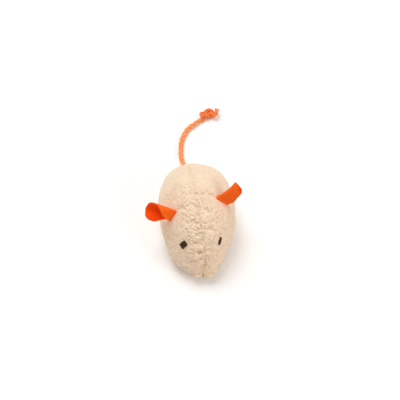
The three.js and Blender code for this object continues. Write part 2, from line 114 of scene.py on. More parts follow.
class Board:
    """The node tree of a material or of the world."""

    def __init__(self, owner):
        owner.use_nodes = True
        self.owner, self.tree = owner, owner.node_tree

    def node(self, kind, settings, inputs, out=0):
        made = self.tree.nodes.new(kind)
        for key, value in settings.items():
            setattr(made, key, value)
        for key, value in inputs.items():
            if isinstance(value, Wire):
                self.tree.links.new(value.socket, made.inputs[key])
            else:
                made.inputs[key].default_value = value
        return Wire(self, made.outputs[out])

    def feed(self, node, socket, wire):
        self.tree.links.new(wire.socket, self.tree.nodes[node].inputs[socket])

    def mix(self, share, low, high):
        return self.node("ShaderNodeMix", {"data_type": "RGBA"}, {0: share, 6: low, 7: high}, 2)

    def grain(self, size_mm, detail=2.0, rough=0.5):
        place = self.node("ShaderNodeTexCoord", {}, {}, "Object")
        inputs = {"Vector": place, "Scale": 1 / (size_mm * MM), "Detail": detail, "Roughness": rough}
        return self.node("ShaderNodeTexNoise", {}, inputs, "Fac")

    def mark(self, name):
        return self.node("ShaderNodeAttribute", {"attribute_name": name}, {}, "Fac")

    def colour(self, wire):
        self.feed("Principled BSDF", "Base Color", wire)

    def bump(self, height, depth_mm, strength):
        inputs = {"Strength": strength, "Distance": depth_mm * MM, "Height": height}
        self.feed("Principled BSDF", "Normal", self.node("ShaderNodeBump", {}, inputs))


def finish(name, **constants):
    """A new material, with the values that are the same all over it set on its shader."""
    board = Board(bpy.data.materials.new(name))
    for socket, value in constants.items():
        board.tree.nodes["Principled BSDF"].inputs[socket.replace("_", " ")].default_value = value
    return board


def paint(red, green, blue):
    """A colour written as a screen shows it, from 0 to 255, as the linear values that shaders use."""
    part = [c / 255 for c in (red, green, blue)]
    return tuple(c / 12.92 if c <= 0.04045 else ((c + 0.055) / 1.055) ** 2.4 for c in part) + (1.0,)


def describe(board):
    print(board.owner.name, "has", len(board.tree.nodes), "nodes")


# %% [markdown]
# The mouse stands on white paper. A wide lamp is high and a little behind it, a weaker one is lower
# and to one side of its nose, and soft light comes from all round.
# The paper is white to the camera, and still takes the mouse's shadow. Stronger lamps could whiten it too,
# but they would wash out the cloth, so the paper gives off a little light that only the camera sees.

# %% Paper
BLACK, WHITE = (0, 0, 0, 1), (1, 1, 1, 1)
PAPER_COLOUR = (0.9, 0.9, 0.9, 1)
PAPER_GLOW = (0.1, 0.095, 0.09, 1)
PAPER_REACH = 4.0

paper = finish(
    "white_paper", Base_Color=PAPER_COLOUR, Roughness=0.9, Specular_IOR_Level=0.0, Emission_Strength=1.0
)
sees = paper.node("ShaderNodeLightPath", {}, {}, "Is Camera Ray")
paper.feed("Principled BSDF", "Emission Color", paper.mix(sees, BLACK, PAPER_GLOW))

sheet = bpy.data.meshes.new("paper")
corners = [(x * PAPER_REACH, y * PAPER_REACH, 0) for x, y in ((-1, -1), (1, -1), (1, 1), (-1, 1))]
sheet.from_pydata(corners, [], [(0, 1, 2, 3)])
sheet.materials.append(paper.owner)
floor = bpy.data.objects.new("paper", sheet)
scene.collection.objects.link(floor)
describe(paper)

# %% Room light
AMBIENT = 0.53
ROOM_COLOUR = (1, 0.92, 0.86, 1)

room = bpy.data.worlds.new("room")
scene.world = room
around = Board(room)
ray_kinds = ("Camera", "Glossy", "Transmission")
rays = [around.node("ShaderNodeLightPath", {}, {}, f"Is {kind} Ray") for kind in ray_kinds]
seen = around.node("ShaderNodeClamp", {}, {0: rays[0] + rays[1] + rays[2]})
around.feed("Background", "Color", around.mix(seen, ROOM_COLOUR, WHITE))
around.feed("Background", "Strength", AMBIENT + (1 - AMBIENT) * seen)
describe(around)

# %% Lamps
LAMPS = {
    "wide_lamp": dict(place=(-0.25, 0.5, 1.1), size=0.9, power=9.2, colour=(0.93, 1.0, 1.04)),
    "side_lamp": dict(place=(1.0, -0.8, 0.7), size=0.8, power=5.0, colour=(1.0, 0.98, 0.96)),
}


def lamp(name, place, size, power, colour):
    """A round lamp that looks at the middle of the frame."""
    light = bpy.data.lights.new(name, "AREA")
    light.shape, light.size, light.energy, light.color = "DISK", size, power, colour
    holder = bpy.data.objects.new(name, light)
    holder.location = place
    holder.rotation_euler = (-Vector(place)).to_track_quat("-Z", "Y").to_euler()
    scene.collection.objects.link(holder)


for name, settings in LAMPS.items():
    lamp(name, **settings)
scene.view_settings.view_transform = "Standard"
print("lamps:", len(bpy.data.lights))

# %% [markdown]
# Meshes are made from plain arrays of points, which is quick for the tens of thousands that the cloth needs.
# A grid of points is enough for a tube, a folded sheet and a cloth panel alike.

# %% Mesh helpers


def grid_quads(rows, columns, wrap=False, first=0):
    index = first + np.arange(rows * columns).reshape(rows, columns)
    if wrap:
        index = np.concatenate([index, index[:, :1]], 1)
    quads = np.stack([index[:-1, :-1], index[:-1, 1:], index[1:, 1:], index[1:, :-1]], -1)
    return quads.reshape(-1, 4)


def run_along(line):
    return np.concatenate([[0], np.cumsum(np.linalg.norm(np.diff(line, axis=0), axis=1))])


def even_steps(line, count):
    """The same line in equal steps."""
    run = run_along(line)
    at = np.linspace(0, run[-1], count)
    return np.stack([np.interp(at, run, line[:, k]) for k in range(3)], -1)


def make_piece(name, points, faces, board, marks=None):
    mesh = bpy.data.meshes.new(name)
    mesh.from_pydata((np.asarray(points) * MM).tolist(), [], [list(f) for f in faces])
    for key, values in (marks or {}).items():
        mark = mesh.attributes.new(key, "FLOAT", "POINT")
        mark.data.foreach_set("value", np.asarray(values, dtype=np.float32))
    work = bmesh.new()
    work.from_mesh(mesh)
    bmesh.ops.remove_doubles(work, verts=work.verts, dist=1e-6)
    bmesh.ops.recalc_face_normals(work, faces=work.faces)
    work.to_mesh(mesh)
    work.free()
    mesh.shade_smooth()
    mesh.materials.append(board.owner)
    piece = bpy.data.objects.new(name, mesh)
    scene.collection.objects.link(piece)
    print(name, "has", len(mesh.vertices), "points")
    return piece


def unit(v):
    return v / np.linalg.norm(v, axis=-1, keepdims=True)


def bell(distance, width):
    """1 at no distance, and next to nothing past twice the width."""
    return np.exp(-((distance / width) ** 2))


# %% [markdown]
# The tail is a cord of three yarns laid round each other, loosely enough for the lay to show.
# It leaves the rear end of the back seam, drops to the table and runs on in a slow bend to an overhand knot.
# A curve with a round bevel would give a smooth hose. Sweeping three yarns round the same line gives a cord.

# %% Cord finish
cord_yarn = finish(
    "orange_cord", Roughness=0.85, Sheen_Weight=0.1, Sheen_Roughness=0.5, Specular_IOR_Level=0.25
)
yarn_grain = cord_yarn.grain(0.3, 3.0, 0.6)
yarn_patch = cord_yarn.grain(5.0, 2.0)
lit_yarn = cord_yarn.mix(yarn_patch, paint(250, 157, 86), paint(252, 183, 122))
# The yarns' tops keep the lit colour. Where a yarn lies low, in the grooves between the yarns, it is painted
# a deeper orange as painted shade.
yarn_lit_share = 0.8 * cord_yarn.mark("rise") + 0.3 * yarn_grain - 0.1
cord_yarn.colour(cord_yarn.mix(yarn_lit_share, paint(242, 108, 36), lit_yarn))
cord_yarn.bump(yarn_grain, 0.1, 0.6)
describe(cord_yarn)

# %% The tail's line
CORD = 3.5
KNOT_CORD = 3.0
TAIL_EXIT = (0, 40.8, 11)
TAIL_LIFT = (0, 46.2, 11)
TAIL_ROUTE = [
    (-2.9, 51.6, 7), (-4.9, 57.3, 3.8), (-5.5, 63, 2.4), (-5.4, 69.5, 2), (-4.4, 77, 2), (-2.4, 83, 2),
    (-0.1, 87.3, 2), (2.5, 90.4, 2), (5.5, 92.8, 2), (8.3, 95, 2),
]
KNOT_AT, KNOT_SIZE, KNOT_TURN, KNOT_OPEN = (16.4, 100.8, 2.6), 1.48, math.radians(-80), 0.5
KNOT_FLAT, KNOT_LONG, KNOT_HUG = 0.85, 1.1, 0.9
POINT_STEPS = 24


def knot_place(x, y, z):
    c, s = math.cos(KNOT_TURN), math.sin(KNOT_TURN)
    x, y = x * KNOT_FLAT, y * KNOT_LONG
    return (
        KNOT_AT[0] + KNOT_SIZE * (x * c - y * s),
        KNOT_AT[1] + KNOT_SIZE * (x * s + y * c),
        KNOT_AT[2] + KNOT_SIZE * z,
    )


def knot_turns():
    """The overhand knot: a trefoil with one lobe opened, between the cord's end and the loose end."""
    points = [knot_place(2.5, -4, -0.4), knot_place(2.3, -2.8, -0.8)]
    for t in np.linspace(-KNOT_OPEN, KNOT_OPEN - 2 * math.pi, 37):
        r = 2 + KNOT_HUG * math.cos(3 * t)
        points.append(knot_place(r * math.cos(2 * t), r * math.sin(2 * t), math.sin(3 * t)))
    loose_end = [(2.2, 2.7, 1.1), (1.7, 3.6, 1.2), (0.4, 4.2, 1.2), (-1.6, 4.6, 1)]
    return points + [knot_place(*p) for p in loose_end]


def smooth_line(points, step):
    """A smooth line through the points, in even steps. Its turns stay tight where the points are close."""
    p = np.array(points, float)
    p = np.vstack([2 * p[0] - p[1], p, 2 * p[-1] - p[-2]])
    line = []
    for a, b, c, d in zip(p, p[1:], p[2:], p[3:]):
        t1 = np.linalg.norm(b - a) ** 0.5
        t2 = t1 + np.linalg.norm(c - b) ** 0.5
        t3 = t2 + np.linalg.norm(d - c) ** 0.5
        for t in np.linspace(t1, t2, POINT_STEPS, endpoint=False):
            ab = ((t1 - t) * a + t * b) / t1
            bc = ((t2 - t) * b + (t - t1) * c) / (t2 - t1)
            cd = ((t3 - t) * c + (t - t2) * d) / (t3 - t2)
            near = ((t2 - t) * ab + t * bc) / t2
            far = ((t3 - t) * bc + (t - t1) * cd) / (t3 - t1)
            line.append(((t2 - t) * near + (t - t1) * far) / (t2 - t1))
    line = np.array(line + [p[-2]])
    return even_steps(line, int(run_along(line)[-1] / step) + 1)


TAIL_STEP = 0.25
TAIL_HIDDEN = (0, 38.6, 11)
knot_route = knot_turns()
whole_line = smooth_line([TAIL_HIDDEN, TAIL_EXIT, TAIL_LIFT, *TAIL_ROUTE, *knot_route], TAIL_STEP)
knot_start = int(np.argmin(np.linalg.norm(whole_line - np.array(knot_route[0]), axis=1)))

# %% [markdown]
# A yarn is swept along its line with a frame that is carried from point to point, so it never spins.
# Small ridges wind round each yarn, the way its own plies do, and both ends close in a round tip.

# %% Yarns of the cord
YARN_SHARES = (0.27, 0.25, 0.23)
YARN_WIND, YARN_LOW = 0.24, 0.35
YARN_SIDES = 15
LAY = 13.0
PLIES, PLY_DEPTH, PLY_LAY = 3, 0.07, 3.4
SLUB_LENGTH, SLUB_DEPTH = 3.5, 0.16
TABLE = 0.02
ANY_WAY = (0.31, 0.2, 0.93)


def carried_frames(line):
    way = unit(np.gradient(line, axis=0))
    side = np.cross(way[0], ANY_WAY)
    sides = []
    for w in way:
        side = unit(side - w * (side @ w))
        sides.append(side)
    sides = np.array(sides)
    return sides, np.cross(way, sides)


def tube(line, radius, corners, ridges=0, ridge_depth=0.0, ridge_lay=1.0):
    side, up = carried_frames(line)
    run = run_along(line)
    turn = np.linspace(0, 2 * math.pi, corners, endpoint=False)
    wave = np.cos(ridges * (turn[None] - run[:, None] * 2 * math.pi / ridge_lay))
    r = (radius[:, None] * (1 + ridge_depth * wave))[..., None]
    return line[:, None] + r * (np.cos(turn)[:, None] * side[:, None] + np.sin(turn)[:, None] * up[:, None])


def round_tips(line, radius):
    """The radius along the line, closing to nothing at both ends like a finger tip."""
    run = run_along(line)
    left = np.minimum(run, run[-1] - run) / radius
    return radius * np.sqrt(np.clip(1 - np.clip(1 - left, 0, 1) ** 2, 1e-10, 1))


def lay_yarns(part, thick, splay):
    """Points, faces and rise of three yarns along a part of the whole line. The rise sets the painted shade
    in the grooves between the yarns.
    """
    side, up = carried_frames(whole_line)
    run = run_along(whole_line)
    points, faces, rise = [], [], []
    for k, share in enumerate(YARN_SHARES):
        turn = (2 * math.pi * (run / LAY + k / len(YARN_SHARES)))[part, None]
        wind = thick[:, None] * YARN_WIND * (1 + splay[:, None])
        line = whole_line[part] + wind * (np.cos(turn) * side[part] + np.sin(turn) * up[part])
        slubs = np.array([noise.noise(Vector((r / SLUB_LENGTH, 4.0 * k, 0.0))) for r in run[part]])
        yarn = round_tips(line, share * thick * (1 + SLUB_DEPTH * slubs))
        rings = tube(line, yarn, YARN_SIDES, ridges=PLIES, ridge_depth=PLY_DEPTH, ridge_lay=PLY_LAY)
        faces.append(grid_quads(*rings.shape[:2], wrap=True, first=sum(map(len, points))))
        out = np.linalg.norm(rings - whole_line[part][:, None], axis=2) / (0.5 * thick[:, None])
        rise.append(np.clip((out - YARN_LOW) / (1 - YARN_LOW), 0, 1).reshape(-1))
        points.append(rings.reshape(-1, 3))
    points = np.concatenate(points)
    points[:, 2] = np.maximum(points[:, 2], TABLE)
    return points, np.concatenate(faces), np.concatenate(rise)


# %% [markdown]
# The cord is pulled thinner where it is knotted, and its loose end frays, so the yarns spread apart there.
# The tail and the knot could be one mesh. They are two, and the knot rides along with the tail.

# %% The tail and its knot
KNOT_TAPER = 8
FRAY, FRAY_LENGTH = 0.9, 2.6
# The knot's yarns are painted a deeper orange than the tail's, as painted shade where the knot shades itself:
# their rise is scaled down before it sets the colour.
KNOT_LIT_SHARE = 0.45

tail_part = slice(0, knot_start + 4)
knot_part = slice(knot_start - 3, len(whole_line))
to_knot = np.clip((np.arange(len(whole_line)) - knot_start) * TAIL_STEP / KNOT_TAPER + 1, 0, 1)
thickness = CORD + (KNOT_CORD - CORD) * to_knot
from_end = (len(whole_line) - 1 - np.arange(len(whole_line))) * TAIL_STEP
splay = FRAY * np.clip(1 - from_end / FRAY_LENGTH, 0, 1) ** 1.5

cord_points, cord_faces, cord_rise = lay_yarns(tail_part, thickness[tail_part], splay[tail_part])
tail = make_piece("tail", cord_points, cord_faces, cord_yarn, {"rise": cord_rise})
knot_points, knot_faces, knot_rise = lay_yarns(knot_part, thickness[knot_part], splay[knot_part])
knot = make_piece("tail_end_knot", knot_points, knot_faces, cord_yarn, {"rise": KNOT_LIT_SHARE * knot_rise})

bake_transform(tail)
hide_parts("tail_root", "tail_cord")
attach(knot, "tail")
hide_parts("tail_knot")

# %% [markdown]
# The body is an egg that is widest and tallest behind its middle. The same formula shaped the frame's panels,
# so the cloth lies where they are. A section across the body has a half width, a middle height, a rise
# and a drop.

# %% The egg
LENGTH, WIDTH, HEIGHT = 80.0, 49.8, 43.6
WIDEST_AT, TALLEST_AT = 1.5, 9.0
NOSE_HEIGHT, MIDDLE_HEIGHT, TAIL_HEIGHT = 6.0, 14.6, 11.0
PLAN_CURVE, BACK_CURVE, BASE_CURVE = (3.1, 1.62, 1.8), (2.1, 1.84, 1.76), (3.2, 3.2, 3.2)
BASE_FLAT = 0.5
BASE_CORNER = 2 / 3
BASE_SEAM_HEIGHT = 5.0


def swell(y, end, peak, rear, front, front_root):
    behind = np.clip((y - peak) / (end - peak), 0, 1)
    before = np.clip((peak - y) / (end + peak), 0, 1)
    return np.where(y >= peak, (1 - behind**rear) ** (1 / rear), (1 - before**front) ** (1 / front_root))


def section(inset, y):
    end = LENGTH / 2 - inset
    half = (WIDTH / 2 - inset) * swell(y, end, WIDEST_AT, *PLAN_CURVE)
    behind = np.clip((y - TALLEST_AT) / (end - TALLEST_AT), 0, 1)
    before = np.clip((TALLEST_AT - y) / (end + TALLEST_AT), 0, 1)
    middle = MIDDLE_HEIGHT + behind * (TAIL_HEIGHT - MIDDLE_HEIGHT) + before * (NOSE_HEIGHT - MIDDLE_HEIGHT)
    rise = (HEIGHT - inset - middle) * swell(y, end, TALLEST_AT, *BACK_CURVE)
    drop = (middle - inset + BASE_FLAT) * swell(y, end, 0.0, *BASE_CURVE)
    return half, middle, rise, drop


def skin(inset, y, angle):
    """Points of the egg's left half, at y and at an angle from the side, counted towards the back."""
    half, middle, rise, drop = section(inset, y)
    c, s = np.abs(np.cos(angle)), np.sin(angle)
    x = np.where(s >= 0, half * c, half * c**BASE_CORNER)
    z = np.where(s >= 0, middle + rise * s, middle - drop * np.abs(s) ** BASE_CORNER)
    return np.stack([x, y + 0 * x, z], -1)


def seam_angle(inset, y):
    """The angle of the base seam in the section at y, or straight down where the base has ended."""
    _, middle, _, drop = section(inset, y)
    share = np.clip((middle - BASE_SEAM_HEIGHT) / np.maximum(drop, 1e-6), 0, 1)
    return -np.arcsin(share ** (1 / BASE_CORNER))


RIDGE_SAMPLES = 1500


def egg_rows(inset, rows):
    """Evenly spaced places along the back seam, from the nose to the tail."""
    y = -np.cos(np.linspace(0, math.pi, RIDGE_SAMPLES)) * (LENGTH / 2 - inset)
    ridge = skin(inset, y, np.full_like(y, math.pi / 2))
    run = run_along(ridge)
    return np.interp(np.linspace(0, run[-1], rows), run, y), run[-1]


back_seam_length = egg_rows(0, 3)[1]
print("back seam:", round(back_seam_length, 1), "mm")

# %% [markdown]
# Each panel is a grid: rows from nose to tail, columns across. A side panel runs from the base seam up
# to the back seam, and the base panel from seam to seam.
# The same grids serve twice: coarse for the simulation, and fine for the cloth.

# %% Panel grids
SIDES = {"left": 1, "right": -1}
ARC_SAMPLES = 300


def side_grid(inset, rows, columns):
    y, _ = egg_rows(inset, rows)
    share = np.linspace(0, 1, ARC_SAMPLES)
    angles = seam_angle(inset, y)[:, None] * (1 - share) + math.pi / 2 * share
    lines = skin(inset, np.repeat(y[:, None], ARC_SAMPLES, 1), angles)
    return np.array([even_steps(line, columns) for line in lines])


def base_grid(inset, rows, columns):
    """The base panel, and the rows of the side grid that it runs along."""
    y, _ = egg_rows(inset, rows)
    angle = seam_angle(inset, y)
    below = np.nonzero(angle > -math.pi / 2 + 1e-6)[0]
    span = np.arange(below[0] - 1, below[-1] + 2)
    share = np.linspace(-1, 1, ARC_SAMPLES + 1)
    lines = []
    for k in span:
        angles = -math.pi / 2 + np.abs(share) * (angle[k] + math.pi / 2)
        line = skin(inset, np.full_like(share, y[k]), angles)
        line[:, 0] *= np.sign(share)
        lines.append(even_steps(line, columns))
    return np.array(lines), span


def mirrored(grid, way):
    return grid * np.array([way, 1, 1])


GIRTH_ROWS, GIRTH_COLUMNS = 41, 41

girth = max(run_along(line)[-1] for line in side_grid(0, GIRTH_ROWS, GIRTH_COLUMNS))
print("side panel:", round(girth, 1), "mm from seam to seam at its widest")

# %% [markdown]
# The panels are sewn up and stuffed, so the cloth swells between its seams. Cloth simulation does this
# on a coarse shell: the seams, the darts at the ears and the foot are held, and pressure fills the rest.
# The shell starts a little inside the finished size, and is made larger for the solver,
# which works best at that scale.

# %% The shell to stuff
EAR_PLACES = {"left": (0.4, 45.6), "right": (-7.0, 43.6)}
START_INSET = 0.9
SHELL_ROWS, SHELL_COLUMNS, SHELL_BASE_COLUMNS = 65, 33, 21
DART_REACH = 4
FOOT_HEIGHT = 2.0


def on_skin(side, y, angle):
    """A point of the plain egg on this side, at y and at an angle in degrees."""
    return skin(0.0, np.array(y), np.array(math.radians(angle))) * np.array([SIDES[side], 1, 1])


def ear_root_height(side):
    return float(on_skin(side, *EAR_PLACES[side])[2])


def shell():
    """The coarse shell as one welded mesh, with each grid's places in it."""
    plain = side_grid(START_INSET, SHELL_ROWS, SHELL_COLUMNS)
    base, span = base_grid(START_INSET, SHELL_ROWS, SHELL_BASE_COLUMNS)
    grids = {side: mirrored(plain, way) for side, way in SIDES.items()}
    grids["base"] = base
    stacked = np.concatenate([g.reshape(-1, 3) for g in grids.values()])
    _, first, place = np.unique(np.round(stacked, 3), axis=0, return_index=True, return_inverse=True)
    place = place.reshape(-1)
    quads, places, start = [], {}, 0
    for key, grid in grids.items():
        count = grid.shape[0] * grid.shape[1]
        places[key] = place[start : start + count].reshape(grid.shape[:2])
        quads.append(place[grid_quads(*grid.shape[:2], first=start)])
        start += count
    return stacked[first], np.concatenate(quads), places


def held_points(points, places):
    held = np.zeros(len(points), bool)
    for side in SIDES:
        held[places[side][:, 0]] = held[places[side][:, -1]] = True
        held[places[side][0]] = held[places[side][-1]] = True
        y, _ = EAR_PLACES[side]
        grid = points[places[side]]
        row = np.abs(grid[:, -1, 1] - y).argmin()
        dart = places[side][row][np.abs(grid[row, :, 2] - ear_root_height(side)) < DART_REACH]
        held[dart] = True
    held[points[:, 2] < FOOT_HEIGHT] = True
    return held


shell_points, shell_quads, shell_places = shell()
shell_held = held_points(shell_points, shell_places)
print("shell points:", len(shell_points), "held:", int(shell_held.sum()))

# %% Stuffing the body
SOLVER_SCALE = 0.02
SOLVER_STEPS = 22
SWELL_LIMIT = 1.7
CLOTH = dict(
    quality=6, mass=0.3, tension_stiffness=25, compression_stiffness=25, shear_stiffness=8,
    bending_stiffness=0.6, shrink_min=-0.035, use_pressure=True, uniform_pressure_force=6,
    vertex_group_mass="held",
)


def stuff(points, quads, held):
    """Moves of the shell's points when the body is stuffed."""
    mesh = bpy.data.meshes.new("shell")
    faces = [list(dict.fromkeys(q)) for q in quads.tolist()]
    mesh.from_pydata((points * SOLVER_SCALE).tolist(), [], [f for f in faces if len(f) > 2])
    work = bmesh.new()
    work.from_mesh(mesh)
    bmesh.ops.recalc_face_normals(work, faces=work.faces)
    work.to_mesh(mesh)
    work.free()
    body = bpy.data.objects.new("shell", mesh)
    scene.collection.objects.link(body)
    pins = body.vertex_groups.new(name="held")
    pins.add(np.nonzero(held)[0].tolist(), 1.0, "REPLACE")
    cloth = body.modifiers.new("cloth", "CLOTH")
    for key, value in CLOTH.items():
        setattr(cloth.settings, key, value)
    cloth.settings.effector_weights.gravity = 0
    for step in range(1, SOLVER_STEPS + 1):
        scene.frame_set(step)
    swollen = body.evaluated_get(bpy.context.evaluated_depsgraph_get()).to_mesh()
    after = np.zeros(len(points) * 3)
    swollen.vertices.foreach_get("co", after)
    move = after.reshape(-1, 3) / SOLVER_SCALE - points
    scene.frame_set(1)
    bpy.data.objects.remove(body)
    far = np.linalg.norm(move, axis=1, keepdims=True)
    return move * np.minimum(1, SWELL_LIMIT / np.maximum(far, 1e-6))


shell_move = np.zeros_like(shell_points)
shell_move = stuff(shell_points, shell_quads, shell_held)
swelling = np.linalg.norm(shell_move, axis=1)
print("mean swell:", round(swelling.mean(), 2), "mm, and at most", round(swelling.max(), 2), "mm")

# %% [markdown]
# The fleece is a looped cloth. The tips of the loops are painted lighter, as a painted highlight, and the
# cloth beside them is painted darker, as painted shade.
# A texture alone could paint such loops, but not where they stand. So the mesh carries their height
# as a mark on its points, and the colour follows it. Noise adds the fibres and the nap.

# %% Fleece finish
fleece = finish(
    "cream_fleece", Roughness=0.95, Sheen_Weight=0.2, Sheen_Roughness=0.5, Specular_IOR_Level=0.15
)
fleece_patch = fleece.grain(9.0, 2.0)
fibres = fleece.grain(0.22, 3.0, 0.6)
nap = fleece.grain(1.6, 4.0, 0.7)
plain_cloth = fleece.mix(fleece_patch, paint(238, 210, 181), paint(246, 224, 197))
loop_rise = fleece.mark("loop") + 0.3 * fibres + 0.9 * nap - 0.6
# Where the loop mark is high, the tips are painted lighter as a painted highlight; where it is low, the gaps
# beside the loops are painted brown as painted shade.
highlight_share = fleece.node("ShaderNodeClamp", {}, {0: loop_rise})
gap_shade_share = fleece.node("ShaderNodeClamp", {}, {0: 0 - loop_rise})
lit_cloth = fleece.mix(highlight_share, plain_cloth, paint(255, 238, 215))
fleece.colour(fleece.mix(gap_shade_share, lit_cloth, paint(172, 137, 107)))
fleece.bump(fibres, 0.1, 0.5)
describe(fleece)

# %% [markdown]
# Looped fleece is thousands of short curls of yarn lying every way. Most are pressed flat into the cloth.
# Those that stand up are modelled: each is a little arc on the cloth, highest on its own line.
# Hair could stand for them, but it would be no part of the mesh, and would not move with it when exported.

# %% Loops of the fleece
CURL_STEP = 0.5
CURL_WIDTH = 0.42
CURLS_PER_MM2 = 0.55
CURL_BEND = 0.8
CURL_STEPS = (3, 8)
CURL_LEVELS = (0.3, 1.0)
# The hollow beside each curl lowers the cloth, and through the loop mark it is painted darker too, as painted
# shade.
HOLLOW_AT, HOLLOW_WIDTH, HOLLOW_DEPTH = 2.1, 0.8, 0.45
UPRIGHT = 0.8


def point_normals(points, quads):
    a, b, c, d = (points[quads[:, k]] for k in range(4))
    face = np.cross(c - a, d - b) / 2
    total = np.zeros_like(points)
    for k in range(4):
        np.add.at(total, quads[:, k], face / 4)
    area = np.linalg.norm(total, axis=1)
    return total / np.maximum(area, 1e-9)[:, None], area


def curl_heights(points, normals, chance, seed):
    """Rise of the standing curls, from 1 on a curl's line to below 0 beside it. They stand by chance."""
    draw = np.random.default_rng(seed)
    count = int(chance.sum() * CURLS_PER_MM2)
    picked = draw.choice(len(points), count, p=chance / chance.sum())
    helper = np.where(np.abs(normals[picked, 2:3]) > UPRIGHT, [[1.0, 0, 0]], [[0, 0, 1.0]])
    first = unit(np.cross(normals[picked], helper))
    second = np.cross(normals[picked], first)
    heading = draw.uniform(0, 2 * math.pi, count)
    bend = draw.uniform(-CURL_BEND, CURL_BEND, count)
    steps = draw.integers(*CURL_STEPS, count)
    level = draw.uniform(*CURL_LEVELS, count)
    tree = kdtree.KDTree(int(steps.sum()))
    owner = []
    for i in range(count):
        at, way = points[picked[i]].copy(), heading[i]
        for _ in range(steps[i]):
            tree.insert(at, len(owner))
            owner.append(i)
            at = at + CURL_STEP * (math.cos(way) * first[i] + math.sin(way) * second[i])
            way += bend[i] * CURL_STEP
    tree.balance()
    rise = np.zeros(len(points))
    for k, p in enumerate(points.tolist()):
        _, spot, distance = tree.find(p)
        hollow = math.exp(-(((distance / CURL_WIDTH - HOLLOW_AT) / HOLLOW_WIDTH) ** 2))
        rise[k] = level[owner[spot]] * (math.exp(-((distance / CURL_WIDTH) ** 2)) - HOLLOW_DEPTH * hollow)
    print("standing curls:", count)
    return rise


# %% [markdown]
# Loops don't stand up everywhere. They are thickest beside the back seam and on the brow,
# worn off towards the rear, few low on the cheeks, and none are under the eyes' stitches.
# Between them the cloth is crinkled: noise folded at zero gives sharp little valleys and round ridges.

# %% Where loops and crinkles are
EYE_PLACES = {"left": (-25.6, 47.2), "right": (-26.2, 45.8)}
EYE_CLEAR = 3.2
WEAR, WEAR_FROM, WEAR_LENGTH, LEAST_LEFT = 0.75, -10, 28, 0.25
PATCHES = 7.0
BARE_FADE = 3
CHEEK_TOP, CHEEK_FADE = 12, 10
NOSE_AT, NOSE_LENGTH = -35, 5
BROW_AT, BROW_LENGTH, BROW_SHARE = -20, 15, 0.72
LONE_LOOPS = 0.07
FLAT_LOOPS = 0.35
CRINKLE_SIZE, CRINKLE_PATCHES = 2.0, 3.0
CRINKLES_FROM, CRINKLES_FADE = 6, 14
CRINKLED_NOSE_AT, CRINKLED_NOSE_LENGTH = -37, 7
SMOOTH_FROM, SMOOTH_LENGTH, SMOOTHED = -6, 20, 0.7
PATCH_SEED, CRINKLE_SEED, CRINKLE_PATCH_SEED = 6, 7, 8


def lumps(points, size, seed):
    shift = Vector((seed * 17.3, seed * 5.1, seed * 9.7))
    return np.array([noise.noise(Vector(p) / size + shift) for p in points.tolist()])


def off_eyes(points):
    """1 on open cloth, and 0 under the stitches of the eyes."""
    away = [np.linalg.norm(points - on_skin(side, *EYE_PLACES[side]), axis=1) for side in SIDES]
    return 1 - np.exp(-((np.minimum(*away) / EYE_CLEAR) ** 4))


def standing_loops(points, normals, areas, near_seam, spread, bare, seed):
    """Rise of the loops. Spread is how far they reach from the seams, and bare is their end at the nose."""
    y, z = points[:, 1], points[:, 2]
    left = np.clip(1 - WEAR * (y - WEAR_FROM) / WEAR_LENGTH, LEAST_LEFT, 1)
    left = left * np.clip(0.8 + 0.8 * lumps(points, PATCHES, PATCH_SEED), 0.3, 1)
    open_cloth = off_eyes(points) * np.clip((y - bare) / BARE_FADE, 0, 1)
    upper = np.maximum(np.clip((z - CHEEK_TOP) / CHEEK_FADE, 0, 1), bell(y - NOSE_AT, NOSE_LENGTH))
    on_brow = (1 - BROW_SHARE + BROW_SHARE * bell(y - BROW_AT, BROW_LENGTH)) * upper
    by_seam = bell(near_seam, spread)
    chance = areas * left * open_cloth * on_brow * (LONE_LOOPS + by_seam)
    rise = curl_heights(points, normals, chance, seed)
    return left * open_cloth * rise * (FLAT_LOOPS + (1 - FLAT_LOOPS) * by_seam)


def crinkles(points, near_seam, spread):
    """How crinkled the cloth is at each point, and the noise whose zeros are the valleys."""
    y, z = points[:, 1], points[:, 2]
    high = np.clip((z - CRINKLES_FROM) / CRINKLES_FADE, 0.2, 1)
    share = np.maximum(high, bell(y - CRINKLED_NOSE_AT, CRINKLED_NOSE_LENGTH)) * off_eyes(points)
    share = share * np.clip(1 - SMOOTHED * (y - SMOOTH_FROM) / SMOOTH_LENGTH, 0.25, 1)
    share = share * (0.75 + 0.25 * bell(near_seam, 1.5 * spread))
    share = share * np.clip(0.5 + 1.4 * lumps(points, CRINKLE_PATCHES, CRINKLE_PATCH_SEED), 0.15, 1)
    return share, lumps(points, CRINKLE_SIZE, CRINKLE_SEED)


# %% [markdown]
# The fine cloth follows the stuffed shell. The shell is coarse, so its moves are read with cubic weights,
# which leave no facets. The back seam of a soft body is never quite straight, and wanders from side to side.

# %% From the shell to the cloth
SEAM_WANDERS = ((-40, -36, -28, -18, -5, 10, 25, 33, 40), (0.6, 1.8, 1.8, 0.3, -1.7, -2.3, -3.0, -2.2, 0.0))
LEAST_RISE = 8.0


def cubic_weights(at, count):
    """Rows of weights that read a smooth curve through evenly placed values, at these fractional places."""
    weights = np.zeros((len(at), count))
    low = np.clip(np.floor(at).astype(int), 0, count - 2)
    t = at - low
    parts = (
        (-1, (-t + 2 * t**2 - t**3) / 2), (0, (2 - 5 * t**2 + 3 * t**3) / 2),
        (1, (t + 4 * t**2 - 3 * t**3) / 2), (2, (-(t**2) + t**3) / 2),
    )
    for shift, part in parts:
        np.add.at(weights, (np.arange(len(at)), np.clip(low + shift, 0, count - 1)), part)
    return weights


